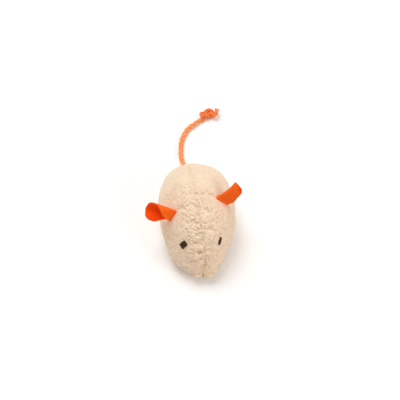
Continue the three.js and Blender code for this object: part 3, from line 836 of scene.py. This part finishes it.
def finer(values, row_at, columns):
    """A coarse grid of moves, read at fractional rows and at evenly spread columns."""
    rows = cubic_weights(row_at, values.shape[0])
    across = cubic_weights(np.linspace(0, values.shape[1] - 1, columns), values.shape[1])
    return np.einsum("ri,ijk,cj->rck", rows, values, across)


def wander(grid):
    """Moves the top of a side panel sideways with the seam, and the cloth below it less and less."""
    _, middle, rise, _ = section(START_INSET, grid[..., 1])
    top = np.clip((grid[..., 2] - middle) / np.maximum(rise, LEAST_RISE), 0, 1) ** 4
    moved = grid.copy()
    moved[..., 0] += top * np.interp(grid[..., 1], *SEAM_WANDERS)
    return moved


def from_edges(grid):
    """Distances along each row of a grid from its first and from its last column."""
    steps = np.linalg.norm(np.diff(grid, axis=1), axis=2)
    first = np.concatenate([np.zeros((len(grid), 1)), np.cumsum(steps, 1)], 1)
    return first, first[:, -1:] - first


# %% [markdown]
# A seam draws the cloth in, deeper at some stitches than at others. Beside the back seam the cloth
# is gathered too: its folds run straight across the snout, and slant on the brow.
# Even folds would look like gills, so noise makes them drift and breaks them up.

# %% Seams and gathers
SEAM_DEPTH, SEAM_WIDTH, PUCKER_STEP = 0.7, 1.1, 3.1
HOLLOW_BY_SEAM, HOLLOW_REACH = 0.35, 3.5
RIPPLE, RIPPLE_STEP, RIPPLE_REACH = 0.35, 1.7, 4.5
GATHER_STEP, GATHER_START = 3.2, 1.2
GATHER_SLANTS = ((10, 40), (0.15, 0.8))
SNOUT_RUN, SNOUT_FOLDS, SEAM_END = 26, 5, 122
SNOUT_END, SNOUT_FADE = 30, 12
DRIFT_SPOTS, BREAK_SPOTS = (5, 12), (2, 4)


def valley(distance, depth, width):
    return -depth * bell(distance, width)


def along_seam(run, step, seed, row):
    """Noise along a seam, one value for each row of a grid."""
    return np.array([noise.noise(Vector((r / step, seed, row))) for r in run])[:, None]


def seam_dip(run, from_seam, seed):
    """The dip at a seam, deeper at some stitches than at others, with puckers across it."""
    pucker, ripple = along_seam(run, PUCKER_STEP, seed, 0.0), along_seam(run, RIPPLE_STEP, seed, 7.0)
    dip = valley(from_seam, SEAM_DEPTH, SEAM_WIDTH) * (1 + 0.5 * pucker)
    dip = dip + valley(from_seam, HOLLOW_BY_SEAM, HOLLOW_REACH)
    return dip + RIPPLE * ripple * bell(from_seam, RIPPLE_REACH)


def beside_seam(along, across, long, wide, seed):
    """Noise over the strip beside a seam, stretched along it and across it."""
    spots = np.stack([along / long, across / wide, 0 * along], -1).reshape(-1, 3)
    return lumps(spots, 1.0, seed).reshape(across.shape)


def gathers(run, from_seam, reach, seed):
    """Soft ridges and hollows beside a seam whose stitches draw the cloth together."""
    along = run[:, None] - np.interp(run, *GATHER_SLANTS)[:, None] * from_seam
    snout = np.clip((SNOUT_END - along) / SNOUT_FADE, 0, 1)
    drift = beside_seam(along, from_seam, *DRIFT_SPOTS, seed)
    broken = np.clip(0.6 + 1.5 * beside_seam(along, from_seam, *BREAK_SPOTS, seed + 1), 0, 1.2)
    broken = np.maximum(broken, 0.55 * snout)
    last_fold = SNOUT_FOLDS + (SEAM_END - SNOUT_RUN) / GATHER_STEP
    turns = np.interp(along, (0, SNOUT_RUN, SEAM_END), (0, SNOUT_FOLDS, last_fold))
    folds = np.sin(2 * math.pi * turns + (4 - 2 * snout) * drift) * (0.6 + 0.8 * drift) * broken
    return folds * bell(from_seam, reach) * (1 - bell(from_seam, GATHER_START))


# %% [markdown]
# Now the cloth itself. Slow lumps of the filling lie under the loops and the crinkles.
# At the seams the edges turn in, and a coarser lining closes each panel, so it is a solid piece of cloth.

# %% Cloth of the panels
FABRIC = 1.6
LOOP_LIFT = 0.65
EDGE_DEPTHS = (0.6, 1.4, 2.2)
EDGE_FACE, EDGE_FLAT, EDGE_LAP = 1.3, 0.6, 0.2
LINING_SKIP, LINING_GAP = 4, 0.8
LUMPS = ((0.45, 12.0, 3), (0.25, 4.5, 4), (0.16, 1.3, 5))
CRINKLE_DEPTH, CRINKLE_LEVEL = 0.75, 0.2
# CRINKLE_SHADE and CREASE_SHADE are painted shade in the crinkles' valleys and in the creases, down to
# DARKEST.
CRINKLE_SHADE, CRINKLE_LINE = 0.4, 0.07
CREASE_SHADE, DARKEST = 0.6, -0.5
AXIS_SHARE = 0.85


def closed_cloth(outer, lining):
    """One closed mesh from an outer grid and a coarser lining grid, joined along both seam edges."""
    rows, columns = outer.shape[:2]
    few_rows, few_columns = lining.shape[:2]
    start = rows * columns
    faces = grid_quads(rows, columns).tolist()
    faces += grid_quads(few_rows, few_columns, first=start)[:, ::-1].tolist()
    for fine_column, column, way in ((0, 0, 1), (columns - 1, few_columns - 1, -1)):
        for i in range(few_rows - 1):
            a, b = (start + k * few_columns + column for k in (i, i + 1))
            f = [(i * LINING_SKIP + k) * columns + fine_column for k in range(LINING_SKIP + 1)]
            for tri in ((a, f[0], f[1]), (a, f[1], f[2]), (a, f[2], b), (b, f[2], f[3]), (b, f[3], f[4])):
                faces.append(tri[::way])
    return np.concatenate([outer.reshape(-1, 3), lining.reshape(-1, 3)]), faces


def away_from_axis(points):
    """Directions straight out from the body's long axis, and along it at both ends."""
    end = LENGTH / 2 - START_INSET
    _, middle, _, _ = section(START_INSET, np.clip(points[:, 1], -end, end))
    axis = np.stack([0 * middle, AXIS_SHARE * points[:, 1], middle], -1)
    return unit(points - axis)


def cloth_normals(points, quads, near_seam):
    """Outward directions of the cloth, the same on both sides of a seam, and the area at each point."""
    normals, areas = point_normals(points, quads)
    straight_out = away_from_axis(points)
    if (straight_out * normals).sum() < 0:
        normals = -normals
    shared = bell(near_seam, EDGE_FACE)[:, None]
    return unit(normals * (1 - shared) + straight_out * shared), areas


def turned_in(outer, normals, dip, grid):
    """The outer grid with its edges turned in at the seams, and the lining behind it."""
    lining = (grid + normals * (dip - FABRIC - LINING_GAP)[..., None])[::LINING_SKIP, ::LINING_SKIP]
    edge = [[outer[:, c] - normals[:, c] * d for d in EDGE_DEPTHS] for c in (0, -1)]
    outer = np.concatenate([np.stack(edge[0][::-1], 1), outer, np.stack(edge[1], 1)], 1)
    for c in (0, -1):
        lining[:, c] = outer[::LINING_SKIP, c] - normals[::LINING_SKIP, c] * EDGE_LAP
    outer[..., 2] = np.maximum(outer[..., 2], TABLE)
    lining[..., 2] = np.maximum(lining[..., 2], FABRIC)
    return outer, lining


# %% Dressing a panel
cloth_surface = {}


def dress(name, grid, dip, from_seam, creases, spread, bare, seed):
    """Makes a panel of looped cloth over a fine grid, and lets it stand for its node."""
    rows, columns = grid.shape[:2]
    points, near_seam = grid.reshape(-1, 3), from_seam.reshape(-1)
    normals, areas = cloth_normals(points, grid_quads(rows, columns), near_seam)
    loops = standing_loops(points, normals, areas, near_seam, spread, bare, seed)
    crinkled, crinkle = crinkles(points, near_seam, spread)
    filling = sum(high * lumps(points, size, lump_seed) for high, size, lump_seed in LUMPS)
    filling = filling + crinkled * CRINKLE_DEPTH * (np.abs(crinkle) - CRINKLE_LEVEL)
    # The crinkles' valleys are painted darker, as painted shade.
    loops = loops - CRINKLE_SHADE * crinkled * bell(crinkle, CRINKLE_LINE)
    lift = dip.reshape(-1) + filling + LOOP_LIFT * loops * (1 - bell(near_seam, EDGE_FLAT))
    # The creases along the seam and in the gathers' hollows are painted darker too, as painted shade.
    loops = np.maximum(loops - CREASE_SHADE * np.clip(creases.reshape(-1), 0, 1), DARKEST)
    outer = (points + normals * lift[:, None]).reshape(grid.shape)
    outer, lining = turned_in(outer, normals.reshape(grid.shape), dip, grid)
    cloth_points, faces = closed_cloth(outer, lining)
    loops = np.pad(loops.reshape(rows, columns), ((0, 0), (len(EDGE_DEPTHS),) * 2), mode="edge")
    marks = np.concatenate([loops.reshape(-1), np.zeros(lining.shape[0] * lining.shape[1])])
    panel = make_piece(f"{name}_fleece", cloth_points, faces, fleece, {"loop": marks})
    cloth_surface[name] = outer.reshape(-1, 3)
    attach(panel, "mouse")
    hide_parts(name)


# %% [markdown]
# Each side has bulges of its own where the filling pushes, and its own gathers. Over the rump the seam
# is filled out, and on the head a line of painted shade along the seam comes and goes, as the loops cover it.
# The gathers' hollows are painted darker too, as painted shade.

# %% Side panels
FINE_ROWS, FINE_COLUMNS = ((381, 205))
row_at = np.linspace(0, SHELL_ROWS - 1, FINE_ROWS)
row_run = np.linspace(0, back_seam_length, FINE_ROWS)

BULGES = {
    "left": [(0.7, (17, 27, 30), 11), (3.5, (5.2, -38.0, 5.2), 4.2), (-0.5, (17, -22, 11), 9)],
    "right": [(2.6, (-17, -24, 9), 11), (2.2, (-4.4, -38, 6.0), 3.4)],
}
GATHERS = {"left": (0.3, 8.5, 8), "right": (0.6, 10.0, 9)}
SPREADS = {"left": (9.0, -29.0), "right": (13.0, -38.5)}
CURL_SEEDS = {"left": 11, "right": 12, "base": 13}
BACK_SEED, BASE_SEED, COVER_SEED = 3.0, 5.0, 11.0
COVER_STEP, COVER_ROW = 4.0, 2.0
RUMP_FROM, RUMP_LENGTH, RUMP_FLAT = 20, 12, 0.9
RUMP_FILLS = ((0.5, 1.6), (0.8, 5))
DART_FADE = 4
DARTS = ((0.25, 1.0), (0.2, 4.0))
SHADE_WIDTH, SHADE_FROM, SHADE_LENGTH = 0.8, -4, 14
HEAD_END, HEAD_FADE, TIP_AT, TIP_FADE, NOSE_FOLDS = 7, 19, -39.5, 3.5, 4


def head_share(y):
    """Where the folds are: all over the head, most at the nose, fading to the rear and at the very tip."""
    share = np.clip((HEAD_END - y) / HEAD_FADE, 0.1, 1) * np.clip((y - TIP_AT) / TIP_FADE, 0, 1)
    return share * (1 + bell(y - NOSE_AT, NOSE_FOLDS))


def side_dips(side, grid, from_base, from_back):
    """How far the cloth of a side panel stands off its grid, and how much painted shade falls in its creases.
    """
    y = grid[..., 1]
    rump = np.clip((y - RUMP_FROM) / RUMP_LENGTH, 0, 1)
    dip = seam_dip(row_run, from_back, BACK_SEED) * (1 - RUMP_FLAT * rump)
    dip += rump * sum(fill * bell(from_back, width) for fill, width in RUMP_FILLS)
    dip += seam_dip(row_run, from_base, BASE_SEED)
    deep, reach, seed = GATHERS[side]
    folds = gathers(row_run, from_back, reach, seed) * head_share(y)
    dip += deep * folds
    ear_y, _ = EAR_PLACES[side]
    on_dart = np.clip((grid[..., 2] - ear_root_height(side) + DART_FADE) / DART_FADE, 0, 1)
    dip += on_dart * sum(valley(y - ear_y, depth, width) for depth, width in DARTS)
    for bulge, place, size in BULGES[side]:
        dip += bulge * bell(np.linalg.norm(grid - np.array(place), axis=2), size)
    covered = along_seam(row_run, COVER_STEP, COVER_SEED, COVER_ROW)
    # A line of painted shade runs along the back seam on the head, broken where the loops cover it, and the
    # hollows of the gathers add painted shade.
    line = bell(from_back, SHADE_WIDTH) * np.clip((SHADE_FROM - y) / SHADE_LENGTH, 0.1, 0.6)
    creases = line * np.clip(0.55 + 1.4 * covered, 0.1, 1) - deep * np.minimum(folds, 0)
    return dip, creases


for side, way in SIDES.items():
    grid = mirrored(side_grid(START_INSET, FINE_ROWS, FINE_COLUMNS), way)
    grid = grid + finer(shell_move[shell_places[side]], row_at, FINE_COLUMNS)
    from_base, from_back = from_edges(grid)
    dip, creases = side_dips(side, grid, from_base, from_back)
    from_seam = np.minimum(from_base, from_back)
    dress(f"side_panel_{side}", wander(grid), dip, from_seam, creases, *SPREADS[side], CURL_SEEDS[side])

# %% [markdown]
# The base panel is the flat piece that the mouse stands on. A plain disc would do for what is out of sight,
# but its edge has to meet the side panels. So it is a grid with rows like theirs, and the same seam dips.

# %% Base panel
BASE_ROWS, BASE_COLUMNS = FINE_ROWS // 2 + 1, 81
BASE_SPREAD, BASE_BARE = 6.0, -37.5

shell_span = base_grid(START_INSET, SHELL_ROWS, SHELL_BASE_COLUMNS)[1]
grid, span = base_grid(START_INSET, BASE_ROWS, BASE_COLUMNS)
spare = (len(span) - 1) % LINING_SKIP
base_rows = np.linspace(0, len(span) - 1, len(span) - spare)
grid = np.einsum("ri,ijk->rjk", cubic_weights(base_rows, len(span)), grid)
base_run = np.interp(base_rows, np.arange(len(span)), span) / (BASE_ROWS - 1)
base_at = np.clip(base_run * (SHELL_ROWS - 1) - shell_span[0], 0, len(shell_span) - 1)
grid = grid + finer(shell_move[shell_places["base"]], base_at, BASE_COLUMNS)
from_right, from_left = from_edges(grid)
from_seam = np.minimum(from_right, from_left)
dip = seam_dip(base_run * back_seam_length, from_seam, BASE_SEED)
dress("base_panel", grid, dip, from_seam, 0 * from_seam, BASE_SPREAD, BASE_BARE, CURL_SEEDS["base"])

# %% [markdown]
# An ear is a piece of felt folded double about its upper edge. Its root is sewn shut in the dart,
# and it opens towards the tip. Cloth simulation would leave the fold to chance, so the sheet is bent
# by formula: flat legs on both sides of a round fold whose radius grows along the ear.

# %% Felt finish
felt = finish("orange_felt", Roughness=0.9, Sheen_Weight=0.05, Sheen_Roughness=0.5, Specular_IOR_Level=0.1)
mottle = felt.grain(1.8, 4.0, 0.65)
hairs = felt.grain(0.25, 3.0, 0.7)
felt_tone = 0.6 * mottle + 0.4 * hairs
# Felt is the same colour on both faces. The inside of the fold is painted a deeper red-orange than the
# outside, as painted shade.
lit_felt = felt.mix(felt_tone, paint(255, 88, 10), paint(255, 122, 32))
shaded_felt = felt.mix(felt_tone, paint(255, 60, 0), paint(255, 90, 10))
felt.colour(felt.mix(felt.mark("inner"), lit_felt, shaded_felt))
felt.bump(hairs + 0.6 * mottle, 0.18, 0.7)
describe(felt)

# %% Ears
FELT = 1.2
FELT_GAP = 0.3
EAR_RIDGE = 1.2
EAR_INSIDE = 4.5
ALONG_EAR = (0, 0.25, 0.5, 0.7, 0.86, 0.95, 1.0)
EARS = {
    "left": dict(
        length=13.3, root=9.2, droop=0, lean=14, twist=(5, 57), fold=(90, 88), tip_radius=2.4,
        front=(9.9, 9.4, 8.6, 8.2, 7.0, 4.2, 0.6), back=(9.9, 9.5, 9.2, 8.8, 7.8, 5.8, 0.8),
    ),
    "right": dict(
        length=18.0, root=6.6, droop=15, lean=12, twist=(25, 62), fold=(90, 95), tip_radius=7.0,
        front=(7.9, 7.6, 5.6, 1.4, -0.6, -3.0, -6.6), back=(7.9, 10.8, 13.4, 13.8, 13.0, 11.0, 7.4),
    ),
}


def ear_frame(side):
    y, angle = EAR_PLACES[side]
    way, a = SIDES[side], math.radians(angle)
    half, _, rise, _ = section(0.0, np.array(y))
    centre = on_skin(side, y, angle)
    down = unit(np.array([way * half * math.sin(a), 0, -rise * math.cos(a)]))
    out = unit(np.array([way * rise * math.cos(a), 0, half * math.sin(a)]))
    return centre, down, np.array([0, 1.0, 0]), out


def felt_loop(front, back, across=44, rim=5):
    """A section of the felt between its two edges: places across it and above it, with round rims."""
    r = min(FELT / 2, (front + back) / 2)
    flat = np.linspace(-front + r, back - r, across)
    turn = np.linspace(math.pi / 2, -math.pi / 2, rim + 2)[1:-1]
    w = np.concatenate([flat, back - r + r * np.cos(turn), flat[::-1], -front + r - r * np.cos(turn)])
    h = np.concatenate([np.full(across, r), r * np.sin(turn), np.full(across, -r), -r * np.sin(turn)])
    return w, h


def smooth_read(at, places, values):
    """Values read between their places without corners."""
    slopes = np.gradient(np.array(values, float), np.array(places, float))
    k = min(int(np.searchsorted(places, at, side="right")) - 1, len(places) - 2)
    span = places[k + 1] - places[k]
    t = (at - places[k]) / span
    rise, run = t * t * (3 - 2 * t), t * (1 - t)
    ends = values[k] * (1 - rise) + values[k + 1] * rise
    return ends + span * run * ((1 - t) * slopes[k] - t * slopes[k + 1])


def ear_sheet(side):
    lie = EARS[side]
    centre, down, back, out = ear_frame(side)
    droop, lean = math.tan(math.radians(lie["droop"])), math.tan(math.radians(lie["lean"]))
    reach = lie["length"] / math.hypot(1, droop, lean)
    first_twist, last_twist = (math.radians(v) for v in lie["twist"])
    root_line = math.cos(first_twist) * down - math.sin(first_twist) * back
    tight = (FELT + FELT_GAP) / 2
    inside = np.linspace(-EAR_INSIDE / reach, 0, 7)[:-1]
    places = np.concatenate([inside, np.linspace(0, 0.9, 34), np.linspace(0.91, 0.998, 14)])
    rings, inner = [], []
    for t in places:
        u = max(t, 0.0)
        spine = centre - root_line * lie["root"] / 2 + (down * droop + back * lean) * reach * u * u
        spine = spine + out * (EAR_RIDGE + FELT_GAP + reach * t)
        along = unit(out + 2 * u * (droop * down + lean * back))
        twist = first_twist + (last_twist - first_twist) * u
        opening = math.cos(twist) * down - math.sin(twist) * back
        opening = unit(opening - along * (opening @ along))
        across = np.cross(along, opening) * SIDES[side]
        bend = math.radians(lie["fold"][0] + (lie["fold"][1] - lie["fold"][0]) * u)
        radius = tight + (lie["tip_radius"] - tight) * u
        w, h = felt_loop(smooth_read(u, ALONG_EAR, lie["front"]), smooth_read(u, ALONG_EAR, lie["back"]))
        turn = np.sign(w) * np.minimum(np.abs(w) / radius, bend)
        leg = np.maximum(0, np.abs(w) - radius * bend)
        p = radius * (1 - np.cos(turn)) + leg * np.abs(np.sin(turn)) + h * np.cos(turn)
        q = radius * np.sin(turn) + np.sign(w) * leg * np.cos(turn) - h * np.sin(turn)
        rings.append(spine + p[:, None] * opening + q[:, None] * across)
        # The inner face of the felt is marked for its painted shade.
        inner.append(np.clip(0.5 + h / FELT, 0, 1))
    return np.array(rings), np.array(inner)


def capped(rings):
    """Faces of a tube of rings, closed at both ends."""
    rows, columns = rings.shape[:2]
    faces = grid_quads(rows, columns, wrap=True).tolist()
    first = list(range(columns))
    return faces + [first[::-1], [(rows - 1) * columns + k for k in first]]


# %% Sewing the ears on
EAR_BLEND = 4

for side in SIDES:
    rings, inner = ear_sheet(side)
    marks = {"inner": inner.reshape(-1)}
    ear = make_piece(f"felt_ear_{side}", rings.reshape(-1, 3), capped(rings), felt, marks)
    centre, _, _, out = ear_frame(side)
    blend_end = centre + EAR_BLEND * out
    (centre * MM).tolist()
    (blend_end * MM).tolist()
    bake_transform(ear)
    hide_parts(f"ear_{side}", f"ear_tab_{side}")
    lie = EARS[side]
    widths = np.add(lie["front"], lie["back"])
    flat = (widths.max() * MM, (lie["length"] + EAR_INSIDE) * MM)
    area = (np.trapz(widths, ALONG_EAR) * lie["length"] + widths[0] * EAR_INSIDE) * MM * MM
    print(f"{side} ear's felt laid flat:", round(area / MM / MM), "mm2")

# %% [markdown]
# The eyes are satin stitch: strands of dark thread laid side by side over the same few millimetres of cloth.
# A dark patch would be simpler, but strands catch the light one by one. Each is a thin tube that rises
# out of the cloth at one end and goes back in at the other.

# %% Stitch finish
eye_thread = finish("brown_satin_thread", Roughness=0.5, Specular_IOR_Level=0.25)
eye_grain = eye_thread.grain(0.18, 2.0)
eye_tone = 0.4 * eye_grain + 0.8 * eye_thread.mark("strand") - 0.2
eye_thread.colour(eye_thread.mix(eye_tone, paint(26, 11, 3), paint(92, 55, 28)))
eye_thread.bump(eye_grain, 0.05, 0.5)
describe(eye_thread)

# %% Eyes
EYES = {
    "left": dict(long=5.0, wide=2.0, turned=-4, strands=9),
    "right": dict(long=4.1, wide=5.5, turned=13, strands=8),
}
EYE_RISE, EYE_SUNK = 0.9, 0.25
EYE_ROUND, EYE_UNEVEN, EYE_SWAY = 0.12, 0.1, 0.12
STRAND = 0.29
STRAND_STEPS, STRAND_SIDES = 15, 8
AROUND_EYE, NEAR_CLOTH, CLOTH_LEVEL = 2, 4, 60
EYE_SEED = 21


def eye_frame(side):
    y, angle = EYE_PLACES[side]
    at = on_skin(side, y, angle)
    ahead = unit(on_skin(side, y - 1, angle) - at)
    up = unit(on_skin(side, y, angle + 3) - at)
    out = unit(np.cross(up, ahead) * SIDES[side])
    third = np.cross(out, ahead)
    turn = math.radians(EYES[side]["turned"])
    c, s = math.cos(turn), math.sin(turn)
    return at, c * ahead + s * third, c * third - s * ahead, out


# %% Stitching the eyes
draw = np.random.default_rng(EYE_SEED)
for side in SIDES:
    eye_shape = EYES[side]
    at, ahead, third, out = eye_frame(side)
    around_eye = cloth_surface[f"side_panel_{side}"] - at
    over = around_eye @ out
    beside = np.linalg.norm(around_eye - over[:, None] * out, axis=1)
    near = (beside < AROUND_EYE) & (np.abs(over) < NEAR_CLOTH)
    at = at + out * np.percentile(over[near], CLOTH_LEVEL)
    points, faces, tones = [], [], []
    for k in range(eye_shape["strands"]):
        place = 2 * k / (eye_shape["strands"] - 1) - 1
        across = place * (eye_shape["long"] / 2 - STRAND)
        reach = eye_shape["wide"] / 2 * (1 - EYE_ROUND * place**2 + draw.uniform(-EYE_UNEVEN, EYE_UNEVEN))
        s = np.linspace(-1, 1, STRAND_STEPS)[:, None]
        arch = 1.05 - 1.5 * np.abs(s) ** 3.5 - 0.1 * place**2
        line = at + ahead * (across + draw.uniform(-EYE_SWAY, EYE_SWAY) * s) + third * reach * s
        line = line + out * (arch * EYE_RISE - EYE_SUNK)
        rings = tube(line, np.full(len(line), STRAND), STRAND_SIDES)
        start = sum(map(len, points))
        faces += [[start + i for i in f] for f in capped(rings)]
        points.append(rings.reshape(-1, 3))
        tones.append(np.full(len(points[-1]), draw.uniform(0, 1)))
    marks = {"strand": np.concatenate(tones)}
    eye = make_piece(f"stitched_eye_{side}", np.concatenate(points), faces, eye_thread, marks)
    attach(eye, "mouse")
    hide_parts(f"eye_{side}")

# %% [markdown]
# Inside are white fibre, a pocket of dried leaf and the sewing thread. They keep the frame's own solids,
# which are right for what never shows, with a finish of their own each.

# %% Inside
sewing_thread = finish("cream_sewing_thread", Roughness=0.6)
sewing_grain = sewing_thread.grain(0.4)
sewing_thread.colour(sewing_thread.mix(sewing_grain, paint(214, 190, 160), paint(238, 220, 196)))
sewing_thread.bump(sewing_grain, 0.05, 0.5)

fibre = finish("white_fibre", Roughness=0.95)
fibre_grain = fibre.grain(2.5, 5.0, 0.7)
fibre.colour(fibre.mix(fibre_grain, paint(226, 220, 208), paint(250, 248, 243)))
fibre.bump(fibre_grain, 0.6, 0.8)

leaf = finish("dried_leaf", Roughness=0.9)
leaf_grain = leaf.grain(1.8, 4.0, 0.7)
leaf.colour(leaf.mix(leaf_grain, paint(84, 96, 48), paint(160, 166, 104)))
leaf.bump(leaf_grain, 0.6, 0.8)

THREADS = (
    "back_seam_thread", "base_seam_thread", "closing_thread", "ear_seam_thread_left", "ear_seam_thread_right",
)
inside_finishes = {
    "stuffing_front": fibre, "stuffing_rear": fibre, "catnip_fill": leaf, "tail_inner_end": cord_yarn,
    **{name: sewing_thread for name in THREADS},
}
for name, board in inside_finishes.items():
    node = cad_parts[name]
    node.data.materials.clear()
    node.data.materials.append(board.owner)
print("inside pieces:", len(inside_finishes))
